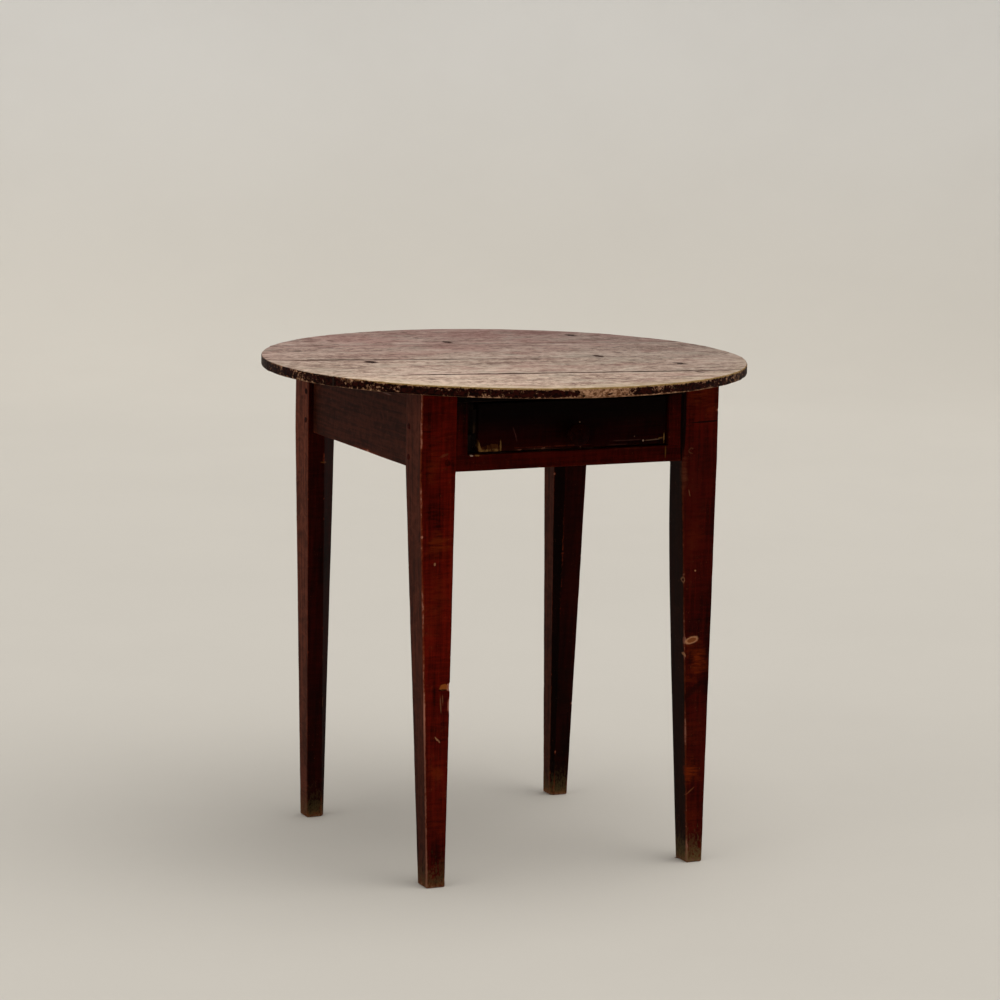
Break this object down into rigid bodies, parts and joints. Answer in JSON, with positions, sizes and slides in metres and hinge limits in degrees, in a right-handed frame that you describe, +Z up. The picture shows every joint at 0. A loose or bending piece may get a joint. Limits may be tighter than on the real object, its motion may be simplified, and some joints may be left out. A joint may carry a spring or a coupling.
{
  "type": "round tavern table with drawer",
  "caption": "Small round-topped country table: thin board top on a low apron frame with tapered legs and a sliding front drawer with a turned wooden knob.",
  "frame": {"origin": "on the floor, under the centre of the round top", "axes": "+Z up, -Y towards the drawer front, +X to the right of someone facing the drawer"},
  "size_m": [0.707, 0.707, 0.72],
  "materials": {
    "worn_top": "worn, rubbed almost bare, traces of old red-brown paint",
    "red_paint": "old oxblood red paint, low sheen, rubbed and chipped at the arrises",
    "bare_wood": "unfinished, aged and dusty",
    "old_iron": "dark, lightly rusted"
  },
  "bodies": {
    "frame": {"top_board_rear": "worn_top", "top_board_mid_rear": "worn_top", "top_board_mid_front": "worn_top", "top_board_front": "worn_top", "leg_front_left": "red_paint", "leg_front_right": "red_paint", "leg_rear_left": "red_paint", "leg_rear_right": "red_paint", "left_apron": "red_paint", "right_apron": "red_paint", "rear_apron": "red_paint", "drawer_rail": "red_paint", "upper_rail": "red_paint", "left_stile": "red_paint", "right_stile": "red_paint", "left_runner": "bare_wood", "right_runner": "bare_wood", "left_guide": "bare_wood", "right_guide": "bare_wood", "left_kicker": "bare_wood", "right_kicker": "bare_wood", "drawer_stops": "bare_wood", "frame_pegs": "red_paint", "top_nails": "old_iron", "runner_nails": "old_iron"},
    "drawer": {"drawer_front": "red_paint", "drawer_knob": "red_paint", "drawer_left_side": "bare_wood", "drawer_right_side": "bare_wood", "drawer_back": "bare_wood", "drawer_bottom": "bare_wood", "drawer_nails": "old_iron"}
  },
  "joints": [
    {"name": "drawer_slide", "type": "slide", "parent": "frame", "child": "drawer", "axis": [0, -1, 0], "range_m": [0, 0.3]}
  ]
}
